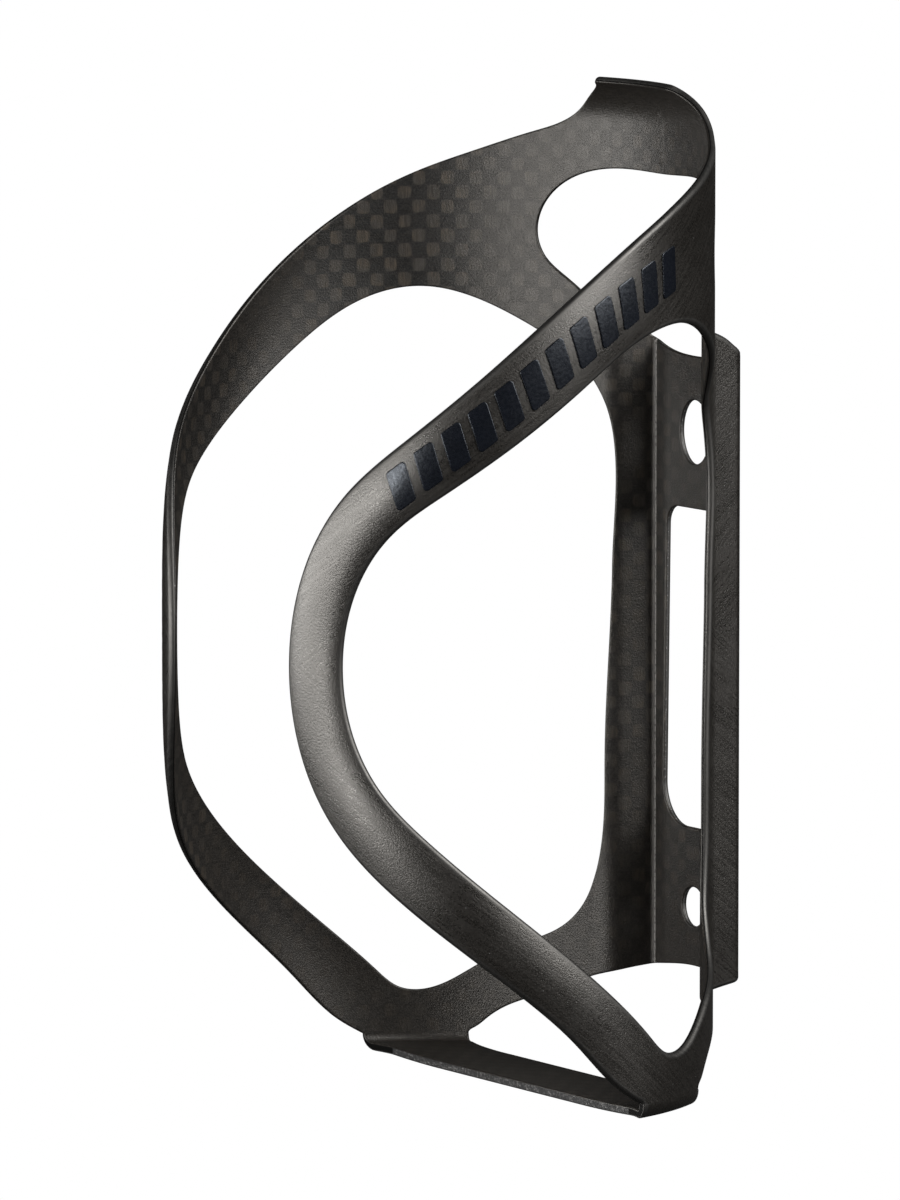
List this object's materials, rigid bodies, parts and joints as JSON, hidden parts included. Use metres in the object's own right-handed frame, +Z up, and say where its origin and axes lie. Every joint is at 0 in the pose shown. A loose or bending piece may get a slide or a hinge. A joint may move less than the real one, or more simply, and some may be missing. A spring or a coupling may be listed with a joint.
{
  "type": "water bottle cage",
  "caption": "Side-hugging bicycle bottle cage in carbon laminate: two looping arms, a channel spine with bolt holes, a top bridge with a retention tab and a seat strip.",
  "frame": {"origin": "on the bottle's axis, at the height of the seat strip's top face", "axes": "+Z up along the bottle's axis, +Y towards the bicycle frame tube, +X to the right-hand side seen from the open front"},
  "size_m": [0.0734, 0.0737, 0.1335],
  "materials": {
    "satin_laminate": "satin unidirectional carbon laminate",
    "woven_ply": "matte plain-weave carbon ply",
    "gloss_black_bars": "raised gloss black"
  },
  "bodies": {
    "root": {"bottle_seat": "satin_laminate", "left_arm": "satin_laminate", "left_arm_inner_ply": "woven_ply", "left_gloss_bars": "gloss_black_bars", "left_lower_gusset": "satin_laminate", "left_lower_gusset_inner_ply": "woven_ply", "left_side_wall": "satin_laminate", "left_upper_gusset": "satin_laminate", "left_upper_gusset_inner_ply": "woven_ply", "rear_bridge": "satin_laminate", "rear_bridge_inner_ply": "woven_ply", "retention_tab": "satin_laminate", "right_arm": "satin_laminate", "right_arm_inner_ply": "woven_ply", "right_gloss_bars": "gloss_black_bars", "right_lower_gusset": "satin_laminate", "right_lower_gusset_inner_ply": "woven_ply", "right_side_wall": "satin_laminate", "right_upper_gusset": "satin_laminate", "right_upper_gusset_inner_ply": "woven_ply", "spine_plate": "satin_laminate", "spine_plate_inner_ply": "woven_ply"}
  },
  "joints": []
}
